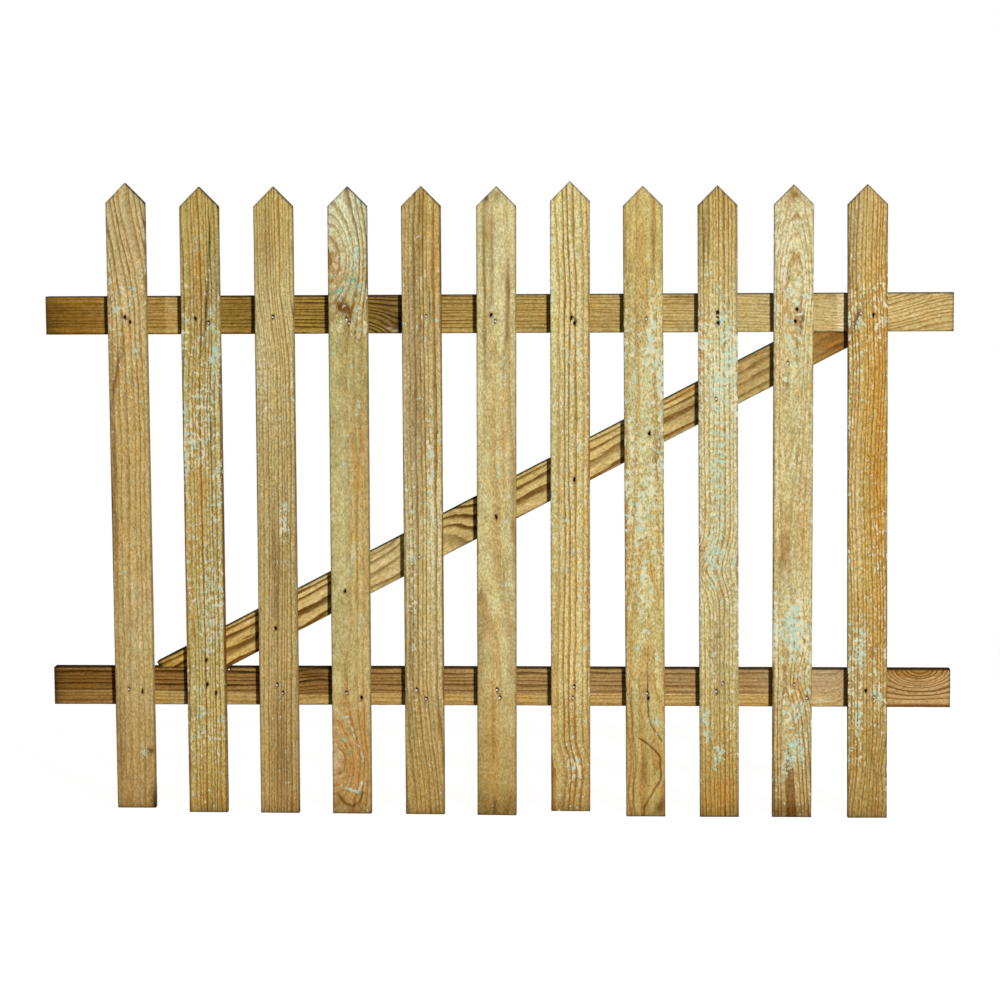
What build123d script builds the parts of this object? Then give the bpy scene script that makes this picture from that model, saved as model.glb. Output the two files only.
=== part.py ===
from build123d import *
from math import asin, atan2, degrees, hypot, radians, sqrt, tan
import os

# Picket fence panel: pointed pickets nailed across two rails, with a diagonal brace cut in between the rails.
# X runs along the rails, the pickets face -Y and Z is up. The origin is the middle of the lower left post
# seat, the strip at the end of the bottom rail's back face that bears on a post.

# Pickets
PICKET_COUNT = 11
PICKET_LENGTH = 1200.0
PICKET_WIDTH = 75.0
PICKET_THICKNESS = 18.0
PICKET_GAP = 65.0
POINT_ANGLE = 90.0  # degrees between the two slopes of a point

# Rails
RAIL_WIDTH = 73.0
RAIL_THICKNESS = 28.0
RAIL_OVERHANG = 122.0  # rail past the outer edge of an end picket
RAIL_SPACING = 714.0  # between the centre lines of the rails
FOOT_DROP = 244.0  # from the bottom rail's centre line down to the pickets' feet
POST_LAP = 50.0  # length of rail that bears on a post

# Brace, as thick as the rails so that the pickets bear on all three
BRACE_WIDTH = 73.0
BRACE_TOE_INSET = 180.0  # from the bottom rail's left end to the brace's lower corner
BRACE_HEAD_INSET = 140.0  # from the top rail's right end to the brace's upper corner
BRACE_NOSE = 12.0  # width of the blank's square end that is left at each sharp corner

ARRIS_RADIUS = 2.0  # eased long edges of the planed boards

# How far each picket was nailed above the line, and how many degrees it leans to the right, in turn
PICKET_LIFTS = (8.5, 0.5, 0.0, -0.5, -1.0, -2.0, 6.5, -3.0, -3.0, -2.5, -3.0)
PICKET_LEANS = (0.0, 0.05, 0.15, 0.2, 0.1, 0.3, 0.15, -0.2, -0.25, 0.0, -0.3)

picket_pitch = PICKET_WIDTH + PICKET_GAP
rail_length = (PICKET_COUNT - 1) * picket_pitch + PICKET_WIDTH + 2 * RAIL_OVERHANG
rail_left = -POST_LAP / 2
rail_centre = rail_left + rail_length / 2
first_picket = rail_left + RAIL_OVERHANG + PICKET_WIDTH / 2


def board(length, width, thickness):
    """A planed board along X, centred on the origin, on edge and with its long edges eased."""
    section = Plane.YZ * RectangleRounded(thickness, width, ARRIS_RADIUS)
    return extrude(section, length / 2, both=True)


def rail(height):
    """A rail at the given height, with its back face on the posts' plane."""
    place = Pos(rail_centre, -RAIL_THICKNESS / 2, height)
    return place * board(rail_length, RAIL_WIDTH, RAIL_THICKNESS)


def picket():
    """An upright picket with the middle of its foot at the origin, cut to a point at the top."""
    upright = Pos(0, 0, PICKET_LENGTH / 2) * Rot(0, -90, 0)
    blank = upright * board(PICKET_LENGTH, PICKET_WIDTH, PICKET_THICKNESS)
    half = PICKET_WIDTH / 2
    shoulder = PICKET_LENGTH - half / tan(radians(POINT_ANGLE / 2))
    corners = [(-half, 0), (half, 0), (half, shoulder), (0, PICKET_LENGTH), (-half, shoulder)]
    outline = make_face(Polyline(*corners, close=True))
    return blank & extrude(Plane.XZ * outline, PICKET_THICKNESS, both=True)


def nailed(number):
    """Place of one picket on the rails: it leans about the panel's middle height."""
    lift = PICKET_LIFTS[number % len(PICKET_LIFTS)]
    lean = PICKET_LEANS[number % len(PICKET_LEANS)]
    middle = Pos(
        first_picket + number * picket_pitch,
        -RAIL_THICKNESS - PICKET_THICKNESS / 2,
        RAIL_SPACING / 2 + lift,
    )
    return middle * Rot(0, lean, 0) * Pos(0, 0, -RAIL_SPACING / 2 - FOOT_DROP)


def brace():
    """A square-ended blank laid from rail to rail and cut level where it meets them.

    Its upper edge starts at the lower corner and its lower edge ends at the upper corner, so the blank is
    centred between those two corners and slopes a little more than the line that joins them.
    """
    run = rail_length - BRACE_TOE_INSET - BRACE_HEAD_INSET
    rise = RAIL_SPACING - RAIL_WIDTH
    reach = hypot(run, rise)
    slope = atan2(rise, run) + asin(BRACE_WIDTH / reach)
    blank_length = sqrt(reach**2 - BRACE_WIDTH**2) - 2 * BRACE_NOSE / tan(slope)
    middle = Pos(rail_left + BRACE_TOE_INSET + run / 2, -RAIL_THICKNESS / 2, RAIL_SPACING / 2)
    blank = Rot(0, -degrees(slope), 0) * board(blank_length, BRACE_WIDTH, RAIL_THICKNESS)
    between_rails = Box(2 * rail_length, RAIL_THICKNESS, rise)
    return middle * (blank & between_rails)


pieces = {
    "top_rail": rail(RAIL_SPACING),
    "bottom_rail": rail(0),
    "diagonal_brace": brace(),
}
for number in range(PICKET_COUNT):
    pieces[f"picket_{number + 1:02d}"] = nailed(number) * picket()

os.makedirs("parts", exist_ok=True)
for name, piece in pieces.items():
    export_step(piece, f"parts/{name}.step")
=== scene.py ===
from math import cos, pi, radians, sin

import bpy
import numpy as np
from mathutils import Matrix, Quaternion, Vector


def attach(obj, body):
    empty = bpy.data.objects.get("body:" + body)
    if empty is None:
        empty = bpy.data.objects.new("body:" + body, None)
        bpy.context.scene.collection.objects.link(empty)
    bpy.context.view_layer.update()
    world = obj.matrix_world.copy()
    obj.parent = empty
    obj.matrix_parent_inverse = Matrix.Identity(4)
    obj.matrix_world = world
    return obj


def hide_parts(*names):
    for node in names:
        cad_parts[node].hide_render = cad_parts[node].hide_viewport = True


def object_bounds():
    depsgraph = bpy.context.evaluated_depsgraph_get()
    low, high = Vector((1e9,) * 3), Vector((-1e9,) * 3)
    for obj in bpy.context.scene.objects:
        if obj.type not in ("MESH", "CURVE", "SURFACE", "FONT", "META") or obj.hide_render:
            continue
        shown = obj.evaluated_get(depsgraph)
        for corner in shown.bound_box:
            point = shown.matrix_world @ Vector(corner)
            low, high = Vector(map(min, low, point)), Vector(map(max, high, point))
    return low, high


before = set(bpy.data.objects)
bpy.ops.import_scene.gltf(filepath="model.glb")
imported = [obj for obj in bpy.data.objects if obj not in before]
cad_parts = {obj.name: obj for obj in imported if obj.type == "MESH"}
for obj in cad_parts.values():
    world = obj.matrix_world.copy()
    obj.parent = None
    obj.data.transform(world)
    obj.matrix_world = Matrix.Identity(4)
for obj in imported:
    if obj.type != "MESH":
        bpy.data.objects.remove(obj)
cad_box = [list(corner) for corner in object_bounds()]

# Lengths are in millimetres, and in metres where they go to Blender
MM = 0.001

# Camera, as the photograph was taken, in metres and degrees
LOOK_AT = Vector((0.8403, -0.028, 0.3603))
CAMERA_AZIMUTH, CAMERA_ELEVATION, CAMERA_ROLL = 3.38, 6.12, -0.389
CAMERA_DISTANCE = 5.5
CAMERA_LENS, CAMERA_SENSOR = 104.08, 36.0

# Light: a lamp to the right of the camera, soft ones behind the panel and to its left, and a pale room
LAMP_DISTANCE = 9.0
LAMP_AZIMUTH, LAMP_ELEVATION, LAMP_SIZE, LAMP_POWER = 26.6, 12.0, 0.8, 740.0
BACK_AZIMUTH, BACK_ELEVATION, BACK_SIZE, BACK_POWER = 186.0, 4.0, 3.0, 420.0
SIDE_AZIMUTH, SIDE_ELEVATION, SIDE_SIZE, SIDE_POWER = 263.0, 3.0, 2.0, 420.0
ROOM_FILL = 0.03
FLOOR_SIZE = 40.0
FLOOR_PALE, FLOOR_SHOWN, FLOOR_GLOW = 0.35, 0.3, 0.93
FLOOR_NEAR, FLOOR_FAR = 1.0, 2.6  # the shadow shows within this reach of the panel

# Shape of the boards
POINT_SLOPE = 1.0  # rise of a picket's point over its run
BRACE_NOSE = 12.0  # square end left at the brace's sharp corners
ARRIS, ARRIS_WEAR = 2.0, 1.3  # radius of a long edge, and how much more it is worn at most
END_WEAR = 0.5  # rounding of the sawn ends
CUP, RELIEF = 0.25, 0.14  # unevenness of a face, and how far soft wood is worn below the hard
BEVEL_REACH = 45.0  # length over which the mesh rows turn to follow a slanting end
STEP_ACROSS, STEP_ALONG, STEP_DEEP, STEP_FINE = 1.6, 6.0, 3.5, 2.4  # mesh steps, fine beside streaks
END_ROWS = (0, END_WEAR, 1.5, 4.0)  # mesh rows near a sawn end
NAIL_ROWS, NAIL_STEP = 4, 1.6  # mesh rows on each side of a nail
SHARP_EDGE = 50.0  # degrees from which two faces meet in a sharp edge

# Grime, the preservative that the cut faces have soaked up, and painted shade on the narrow sides
RIM_SHADE, RIM_REACH = 0.52, 2.4  # along the edges of a face
SAWN_SHADE, SAWN_REACH = 0.62, 2.8  # more of it along the sawn ends
FOOT_SHADE, FOOT_REACH = 0.26, 20.0  # above a foot
END_SHADE, SIDE_SHADE = 0.36, 0.72  # what is left of the colour on the sawn ends and on the edges
HIDDEN_BLOOM, HIDDEN_LESS = 0.5, 0.2  # share of the salts on the sides and the back, less a little
MARK_DEPTH = 7.0  # how deep a surface mark goes
TURN_EASE = 0.7  # how rounded the turns of the heart's path are
STRIP_EDGE = 1.6  # how sharply a strip of other wood begins
SLOPE_MARK = (1.8, 22.0)  # half width and half length of the dirt on a slope of a point
# The dark line along the top is painted shade, as though the top face were out of the lamp's light.
TOP_EDGE_SHADE_WIDTH = 1.4  # half width of the dark line along the top of a rail

# Nails
HEAD_RADIUS, HEAD_SEGMENTS = 1.9, 14
HEAD_PROFILE = ((0.55, 0.35), (0.9, 0.22), (1.0, 0.0), (1.0, -0.35), (0.55, -0.6), (0.5, -2.0))  # radius, up
HEAD_TIP, HEAD_TURN = (4, 20), 15  # degrees that a head leans forward, and to each side at most
CRATER_RADIUS, CRATER_DEPTH = 2.8, 2.2
PIT_REACH = 8.0  # how far from a nail's middle the wood is bruised
PIT_SHADE_AND_BRUISE = {"hole": 1.0, "bright": 1.0, "dull": 0.7}  # how dark the bruise and the painted shade in the pit are
HEAD_SUNK = {"hole": 3.0, "bright": 0.7, "dull": 0.9}  # of the head below the face
HEAD_SHIFT = {"hole": (0.0, 0.0), "bright": (-0.7, -0.9), "dull": (0.3, -0.5)}  # off the pit's middle
PICKET_PITCH, FIRST_PICKET = 140.0, 134.5
FOOT_LEVEL = -244.0

# Noises of the wood: cells in a metre across, along and deep, then detail and roughness
RING_WANDER = ((170, 16, 170), 2.0, 0.5)
GRIT = ((300, 165, 300), 3.0, 0.68)
FLECK = ((400, 160, 400), 2.0, 0.6)
WARMTH = ((110, 34, 110), 4.0, 0.6)
SPECK = ((120, 92, 120), 4.0, 0.72)
SPECK_HUE = ((110, 55, 110), 2.0, 0.5)
SMEAR = ((130, 100, 130), 4.0, 0.72)
TEAR = ((300, 170, 300), 2.0, 0.5)
RUST = ((700, 700, 700), 3.0, 0.6)

# Rings and fibres
LATE_RISE, LATE_DROP = (0.40, 0.87), (0.91, 1.0)  # the part of a year in which the late wood darkens and ends
YEAR_LEAST, YEAR_MORE = 0.62, 0.75  # how dark a poor year is, and how much darker a rich one
FIBRES_A_YEAR, FIBRES_A_METRE = 2.6, 26.0
FIBRE_TONE, FIBRE_BASE = 1.15, 0.455
WARM_TINT, WARM_SHARE = (1.10, 0.93, 0.66, 1.0), 0.5
COARSE_BASE, COARSE_SALTS = 0.52, 0.6  # how coarse the surface is, and how much more where salts came out
FLECK_DARK = -0.62
DARKEST = 0.12
RED_DEEP, BLUE_DEEP = 0.85, 1.45  # dark wood is redder

# Salts of the preservative
SPECK_LIMIT, SPECK_BLOOM, SPECK_SOFT = 0.66, -0.28, 0.06
SALT_CREAM, SALT_GREEN, SALT_COVER = (240, 230, 190), (200, 222, 198), 0.88
MINT_DARK, MINT_LIGHT, MINT_PULL, MINT_STEP = (170, 200, 170), (218, 234, 216), 0.26, (0.66, 0.74)
TEAL_DARK, TEAL_LIGHT, TEAL_PULL, TEAL_STEP = (104, 166, 138), (150, 210, 180), 0.30, (0.65, 0.74)

# Marks: the salts, and the stains with the colour that each moves the wood towards; the dark one also paints
# shade along some top edges and under the top rail
SALT_MARKS = ("crust", "mint", "teal")
MARK_TINTS = {
    "brown": (112, 72, 26),
    "dark": (34, 24, 12),
    "orange": (190, 126, 46),
    "pale": (222, 210, 166),
    "grey": (158, 142, 108),
    "ochre": (184, 152, 84),
}


def srgb(colour):
    """Linear light of a colour written in 0 to 255 steps."""
    c = np.asarray(colour, float) / 255
    return np.where(c <= 0.04045, c / 12.92, ((c + 0.055) / 1.055) ** 2.4)


def hashed(ix, iy, iz, seed):
    """A fixed random value from -1 to 1 for each point of a lattice."""
    n = (ix * 374761393 + iy * 668265263 + iz * 2147480009 + seed * 974711) & 0xFFFFFFFF
    n = ((n ^ (n >> 13)) * 1274126177) & 0xFFFFFFFF
    n = n ^ (n >> 16)
    return n / 0x7FFFFFFF - 1.0


def smooth_noise(seed, x, y, z):
    """Smooth noise from about -1 to 1, one lattice cell per unit."""
    x, y, z = np.broadcast_arrays(*(np.asarray(v, float) for v in (x, y, z)))
    base = [np.floor(v).astype(np.int64) for v in (x, y, z)]
    part = [v - b for v, b in zip((x, y, z), base)]
    part = [f * f * (3 - 2 * f) for f in part]
    total = 0
    for corner in np.ndindex(2, 2, 2):
        weight = 1
        for f, side in zip(part, corner):
            weight = weight * (f if side else 1 - f)
        total = total + weight * hashed(*(b + side for b, side in zip(base, corner)), seed)
    return total


def along_board(table, s, eased=False):
    """Values given at places along a board, between them by straight lines or by eased ones."""
    if not isinstance(table, list):
        table = [(0, table)]
    places = np.array([row[0] for row in table], float)
    values = np.array([np.atleast_1d(row[1]) for row in table], float)
    steps = np.arange(len(places))
    step = np.interp(s, places, steps)
    if eased:
        part = step - np.floor(step)
        step = step + TURN_EASE * (part * part * (3 - 2 * part) - part)
    return np.stack([np.interp(step, steps, column) for column in values.T], axis=-1)


def one_along(table, s):
    return along_board(table, s)[..., 0]


def palette(table, s):
    """Colours given at places along a board, in linear light."""
    return along_board([(place, srgb(colour)) for place, colour in table], s)


def moved(path, by):
    """A path along a board, moved across it."""
    return [(place, across + by) for place, across in path]


# Where the pale band along the bottom rail begins
BAND_EDGE = [(0, -10), (229, -10), (509, -17), (649, -13), (1719, -12)]

# Each board's wood. ring is the width of a year's growth. pith gives, at places along the board, how far the
# heart of the tree lay to the side of the board's middle and behind its front. contrast is how dark the late
# wood shows. early and late are the colours. bloom is how densely the preservative's salts have come out.
# eyes are knots that the rings run round: (across, along, half width, half length, rings).
# strips are lengths of lighter or darker wood: (from, to across, strength along, early, late).
# slopes is how dirty the two slopes of a point are, top_edge_shade how dark the painted shade along a rail's
# or the brace's top edge.
# crust, mint and teal are salts and the tints' names are stains that show on the front, though a few dark
# marks are painted shade: (across, along, half width, half length, strength, slant).
# streaks are lines on the front: (kind, half width, strength, places across and along).
WOOD = {
    "picket_01": dict(
        ring=11.0,
        pith=[(0, (-95, 30)), (650, (-92, 30)), (960, (-96, 30)), (1200, (-132, 30))],
        contrast=[(0, 0.45), (700, 0.6), (900, 0.75), (1200, 0.85)],
        early=[(0, (178, 144, 84)), (300, (198, 172, 109)), (800, (200, 170, 105)),
            (1200, (208, 188, 132))],
        late=[(0, (146, 106, 52)), (1200, (150, 112, 58))],
        bloom=[(0, 0.08), (700, 0.18), (840, 0.3), (1000, 0.36), (1120, 0.16), (1200, 0.1)],
        slopes=(0, 0.2),
        brown=[(-32, 640, 6, 260, 0.65), (-22, 838, 5, 60, 0.85, 0.18), (-30, 120, 9, 110, 0.4),
            (31, 113, 6, 7, 1.2)],
        dark=[(36, 14, 6, 34, 0.9)],
        mint=[(-10, 955, 24, 40, 0.62), (14, 990, 12, 40, 0.62), (14, 885, 10, 20, 0.6),
            (-4, 840, 14, 40, 0.5), (2, 700, 12, 110, 0.3), (16, 112, 8, 22, 0.8, 0.1),
            (10, 30, 5, 40, 0.5)],
        pale=[(6, 330, 20, 130, 0.25)],
    ),
    "picket_02": dict(
        ring=7.2,
        pith=[(0, (-160, 40)), (800, (-160, 40)), (960, (-154, 40)), (1200, (-158, 40))],
        contrast=1.0,
        early=[(0, (188, 156, 84)), (220, (192, 176, 108)), (800, (192, 176, 110)), (1200, (186, 164, 95))],
        late=[(0, (150, 100, 40)), (1200, (138, 102, 46))],
        bloom=[(0, 0.16), (150, 0.4), (420, 0.5), (820, 0.55), (1000, 0.38), (1120, 0.08), (1200, 0.05)],
        slopes=(0.3, 0.3),
        mint=[(24, 895, 12, 85, 1.0), (27, 640, 6, 160, 0.7), (-6, 1085, 14, 40, 0.5),
            (-2, 190, 14, 70, 0.7, 0.05), (12, 430, 16, 90, 0.5)],
        dark=[(20, 1090, 1.9, 44, 1.0, 0.06), (13, 985, 2.6, 64, 1.0, 0.07), (17, 720, 2.4, 130, 0.6)],
        grey=[(27, 1010, 8, 80, 0.5)],
        orange=[(-8, 650, 14, 200, 0.35), (-4, 1040, 12, 90, 0.4), (-31, 480, 5, 220, 0.5)],
    ),
    "picket_03": dict(
        ring=6.2,
        pith=[(0, (-176, 60)), (700, (-168, 60)), (850, (-168, 60)), (1020, (-186, 60)),
            (1200, (-188, 60))],
        contrast=0.8,
        early=[(0, (183, 150, 88)), (250, (189, 165, 106)), (700, (190, 170, 112)),
            (1000, (198, 180, 122)), (1200, (200, 176, 104))],
        late=[(0, (140, 104, 54)), (1200, (156, 122, 62))],
        bloom=[(0, 0.1), (400, 0.2), (700, 0.28), (830, 0.3), (950, 0.14), (1200, 0.0)],
        brown=[(-3, 450, 6, 150, 0.5), (-12, 1110, 12, 80, 0.3), (2, 120, 14, 110, 0.3)],
        pale=[(-24, 880, 12, 90, 0.35)],
        crust=[(14, 565, 8, 40, 0.6)],
        mint=[(15, 487, 7, 12, 0.6)],
    ),
    "picket_04": dict(
        ring=13.0,
        pith=[(0, (-34, 40)), (1200, (-37, 40))],
        contrast=[(0, 1.0), (180, 0.85), (300, 0.35), (880, 0.35), (980, 1.0), (1200, 0.9)],
        early=[(0, (184, 153, 93)), (180, (190, 165, 107)), (300, (194, 177, 117)),
            (900, (184, 171, 111)), (1020, (194, 179, 123)), (1110, (206, 201, 156)),
            (1200, (210, 207, 166))],
        late=[(0, (172, 124, 64)), (850, (164, 122, 58)), (1000, (158, 120, 66)), (1200, (150, 132, 86))],
        bloom=[(0, 0.06), (850, 0.08), (960, 0.4), (1060, 0.42), (1130, 0.2), (1200, 0.1)],
        eyes=[(-37, 1062, 60, 80, -4.8), (-30, 95, 42, 62, -4.2)],
        slopes=(0, 0.3),
        teal=[(-16, 1003, 16, 16, 0.68, 0.3), (12, 1018, 12, 34, 0.6, -0.2), (-26, 1034, 9, 16, 0.55),
            (3, 470, 7, 16, 0.8, 0.3), ],
        brown=[(-6, 970, 11, 15, 1.4, -0.5)],
        mint=[(12, 1056, 13, 52, 0.8), (6, 1150, 7, 30, 0.6, 0.3), (20, 966, 12, 50, 0.8),
            (-22, 1016, 14, 30, 0.6), (6, 860, 4, 6, 1.0), (19, 790, 5, 9, 1.0), (15, 770, 5, 7, 0.8),
            (-4, 732, 6, 8, 1.0), (-13, 679, 7, 9, 1.0), (20, 640, 4, 6, 0.7),
            (10, 500, 6, 30, 0.8, 0.2), (-10, 478, 5, 16, 0.5), (22, 378, 6, 24, 0.6)],
        orange=[(-24, 1050, 12, 40, 0.5), (9, 690, 2.5, 70, 0.9, -0.06), (17, 640, 3, 120, 0.8, 0.03),
            (13, 480, 3, 130, 0.7), (30, 600, 4, 300, 0.5), (-4, 110, 30, 90, 0.5)],
        pale=[(-10, 620, 14, 180, 0.2), (-30, 104, 14, 24, 0.4)],
        streaks=[
            ("mint", 3.0, 0.95, [(-18, 182), (-8, 191), (2, 160), (10, 137), (22, 114), (22, 95)]),
            ("mint", 3.4, 0.95, [(20, 64), (12, 42), (0, 45), (-12, 50)]),
            ("mint", 2.6, 0.9, [(-20, 55), (-8, 61), (-3, 69)]),
            ("teal", 2.8, 1.1, [(-15, 148), (-10, 140)]),
            ("teal", 2.6, 1.0, [(-4, 127), (-1, 112)]),
            ("brown", 3.0, 0.9, [(-28, 38), (-13, 20), (1, 15), (14, 22), (21, 42)]),
            ("brown", 1.5, 0.8, [(-26, 131), (-15, 117), (-12, 100), (-15, 84), (-26, 76)]),
            ("orange", 2.0, 0.7, [(17, 198), (24, 162), (27, 128), (24, 78), (18, 50)]),
            ("orange", 2.0, 0.7, [(-20, 180), (-8, 196), (2, 168)]),
        ],
    ),
    "picket_05": dict(
        ring=9.0,
        pith=[(0, (-110, 30)), (260, (-128, 30)), (1200, (-130, 30))],
        contrast=0.72,
        early=[(0, (176, 144, 79)), (500, (205, 187, 125)), (900, (198, 176, 117)),
            (1200, (202, 174, 101))],
        late=[(0, (142, 104, 54)), (1200, (138, 106, 58))],
        bloom=[(0, 0.14), (400, 0.28), (800, 0.28), (1000, 0.22), (1200, 0.1)],
        brown=[(-10, 880, 15, 420, 0.38), (3, 1120, 7, 70, 0.4), (-24, 330, 4, 140, 0.6)],
        grey=[(-22, 800, 12, 500, 0.4)],
        dark=[(16, 965, 1.6, 40, 0.9)],
        mint=[(30, 945, 6, 12, 0.8)],
        crust=[(14, 660, 6, 160, 0.4), (-22, 470, 5, 120, 0.5)],
        orange=[(28, 1050, 5, 160, 0.45)],
        pale=[(22, 420, 12, 200, 0.25)],
    ),
    "picket_06": dict(
        ring=17.0,
        pith=[(0, (-30, 70)), (250, (-22, 70)), (500, (-50, 70)), (800, (-70, 70)), (1200, (-72, 70))],
        contrast=[(0, 0.2), (280, 0.25), (500, 0.6), (900, 0.45)],
        early=[(0, (174, 146, 84)), (120, (186, 160, 98)), (300, (200, 182, 123)), (1200, (204, 192, 135))],
        late=[(0, (160, 118, 60)), (1200, (176, 134, 72))],
        bloom=[(0, 0.0), (250, 0.1), (600, 0.18), (900, 0.16), (1200, 0.0)],
        brown=[(-22, 1000, 3.2, 200, 0.75), (20, 960, 4, 120, 0.7, 0.05), (-8, 1090, 2, 100, 0.5),
            (4, 14, 40, 26, 0.45), (2, 1184, 8, 10, 0.6), (-7, 190, 2.4, 70, 0.5)],
        mint=[(-7, 920, 2.4, 130, 0.9, 0.01), (16, 860, 8, 40, 0.6), (4, 690, 6, 60, 0.55),
            (18, 560, 8, 40, 0.6), (18, 430, 8, 50, 0.6), (22, 330, 8, 50, 0.55)],
        orange=[(14, 720, 4, 130, 0.55), (-5, 150, 6, 120, 0.45, -0.02)],
        pale=[(10, 1080, 14, 110, 0.3)],
        dark=[(-17, 1178, 4, 6, 0.8), (-5, 16, 4, 24, 0.5, 0.1)],
        ochre=[(-20, 140, 4, 130, 0.9, -0.03)],
    ),
    "picket_07": dict(
        ring=10.6,
        pith=[(0, (-60, 45)), (80, (-54, 45)), (140, (-66, 45)), (300, (-66, 45)), (1000, (-64, 45)),
            (1200, (-72, 45))],
        contrast=1.0,
        early=[(0, (182, 152, 86)), (250, (207, 188, 123)), (1200, (210, 198, 135))],
        late=[(0, (154, 106, 46)), (300, (168, 124, 62)), (1200, (164, 118, 58))],
        bloom=[(0, 0.2), (200, 0.3), (600, 0.4), (900, 0.38), (1100, 0.4), (1200, 0.28)],
        slopes=(0.2, 0.3),
        mint=[(-6, 640, 4, 200, 0.5), (2, 800, 5, 60, 0.6), (-10, 560, 12, 60, 0.45),
            (-4, 870, 12, 40, 0.45)],
        orange=[(33, 560, 4, 500, 0.5), (-32, 300, 4, 300, 0.4)],
        crust=[(8, 90, 20, 36, 0.4)],
        dark=[(7, 945, 1.5, 8, 1.4, -0.88)],
        brown=[(4, 505, 2.5, 30, 0.5)],
    ),
    "picket_08": dict(
        ring=9.0,
        pith=[(0, (14, 34)), (40, (12, 34)), (105, (22, 30)), (175, (16, 32)), (260, (4, 40)),
            (600, (4, 52)), (1200, (6, 56))],
        contrast=[(0, 1.0), (200, 0.9), (300, 0.6), (1100, 0.55)],
        early=[(0, (178, 149, 84)), (250, (190, 172, 109)), (560, (196, 180, 118)),
            (850, (198, 186, 130)), (1060, (192, 172, 106)), (1200, (194, 176, 110))],
        late=[(0, (160, 114, 52)), (300, (184, 144, 78)), (900, (186, 146, 80)), (1200, (172, 128, 60))],
        bloom=[(0, 0.0), (120, 0.1), (240, 0.32), (600, 0.5), (850, 0.54), (1000, 0.36), (1080, 0.1),
            (1200, 0.0)],
        slopes=(0, 0.3),
        brown=[(-33, 1120, 3, 90, 0.5), (19, 1110, 4, 80, 0.5), (28, 20, 8, 16, 0.9, 0.3),
            (24, 700, 8, 60, 0.4), (-1, 90, 8, 34, 0.5)],
        orange=[(0, 1090, 5, 90, 0.35), (-33, 500, 4, 300, 0.5), (6, 960, 3, 90, 0.6)],
        crust=[(20, 900, 16, 130, 0.3)],
        dark=[(5, 245, 1.6, 55, 0.9)],
        mint=[(18, 200, 12, 40, 0.6, -0.2), (0, 760, 30, 200, 0.42), (-6, 560, 24, 120, 0.42)],
        streaks=[
            ("dark", 1.3, 0.8, [(5, 215), (6, 200), (9, 180), (18, 167), (31, 146)]),
            ("brown", 1.7, 1.1, [(-12, 152), (4, 142), (18, 128), (27, 117), (28, 101), (30, 77)]),
            ("brown", 1.7, 1.1, [(30, 77), (25, 65), (15, 51), (6, 35), (-2, 19), (-3, 0)]),
            ("brown", 1.4, 0.6, [(-26, 250), (-25, 140), (-22, 80), (-26, 0)]),
        ],
    ),
    "picket_09": dict(
        ring=7.4,
        pith=[(0, (-150, 40)), (415, (-150, 40)), (475, (-162, 40)), (555, (-148, 40)), (1200, (-150, 40))],
        contrast=[(0, 1.1), (120, 0.9), (1000, 0.9), (1200, 1.2)],
        early=[(0, (173, 145, 77)), (150, (186, 164, 98)), (300, (198, 186, 128)), (850, (204, 197, 146)),
            (1050, (190, 171, 110)), (1200, (183, 160, 98))],
        late=[(0, (134, 84, 28)), (200, (160, 116, 54)), (300, (172, 134, 72)), (900, (174, 138, 78)),
            (1200, (132, 96, 40))],
        bloom=[(0, 0.04), (100, 0.26), (300, 0.42), (600, 0.55), (900, 0.6), (1000, 0.44), (1100, 0.24),
            (1200, 0.08)],
        eyes=[(-36, 475, 24, 40, 2.4)],
        slopes=(0.2, 0.5),
        dark=[(-25, 1090, 1.8, 60, 0.6)],
        orange=[(-31, 900, 6, 80, 0.7), (-30, 540, 5, 80, 0.5), (0, 40, 34, 44, 0.35)],
        mint=[(10, 940, 12, 70, 0.8), (-6, 760, 14, 60, 0.6), (-8, 500, 26, 56, 0.8),
            (-25, 195, 9, 22, 1.0), (-21, 160, 9, 16, 1.0), (1, 127, 11, 20, 1.0),
            (-6, 99, 7, 12, 1.0), (12, 900, 24, 80, 0.8), (4, 660, 26, 150, 0.7),
            (2, 830, 28, 60, 0.7)],
        brown=[(-4, 330, 12, 60, 0.3), (-26, 1130, 8, 60, 0.3)],
    ),
    "picket_10": dict(
        ring=5.6,
        pith=[(0, (0, 20)), (250, (-10, 26)), (500, (-12, 30)), (900, (-2, 22)), (1010, (2, 16)),
            (1190, (5, 36))],
        contrast=[(0, 1.0), (240, 0.8), (420, 0.4), (900, 0.5), (1020, 0.7), (1140, 0.6), (1200, 0.5)],
        early=[(0, (178, 148, 90)), (120, (194, 174, 116)), (400, (194, 179, 122)),
            (900, (203, 190, 134)), (1200, (204, 193, 146))],
        late=[(0, (128, 92, 46)), (400, (182, 142, 82)), (1200, (172, 134, 76))],
        bloom=[(0, 0.12), (150, 0.44), (260, 0.4), (330, 0.75), (400, 0.6), (450, 0.2), (650, 0.3),
            (900, 0.44), (1020, 0.56), (1120, 0.4), (1200, 0.2)],
        eyes=[(16, 268, 22, 44, 2.2)],
        ochre=[(2, 1180, 10, 14, 1.0)],
        brown=[(2, 1178, 7, 9, 0.8), (14, 945, 4, 30, 0.9), (6, 910, 3, 40, 0.7),
            (-12, 830, 4, 30, 0.6), (-14, 500, 12, 40, 0.4), (0, 14, 40, 16, 0.6)],
        mint=[(6, 1120, 12, 50, 0.5), (-14, 1000, 8, 14, 0.9), (10, 1030, 10, 20, 0.7),
            (-22, 1060, 8, 30, 0.5), (10, 860, 7, 90, 0.6), (-10, 360, 22, 50, 0.9),
            (2, 120, 20, 50, 1.0, 0.3), (14, 210, 16, 24, 0.8, 0.5)],
        pale=[(-22, 1110, 14, 60, 0.5), (4, 440, 24, 60, 0.3)],
        orange=[(-20, 970, 8, 40, 0.4), (-28, 850, 6, 80, 0.35), (-16, 560, 8, 60, 0.4),
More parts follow.
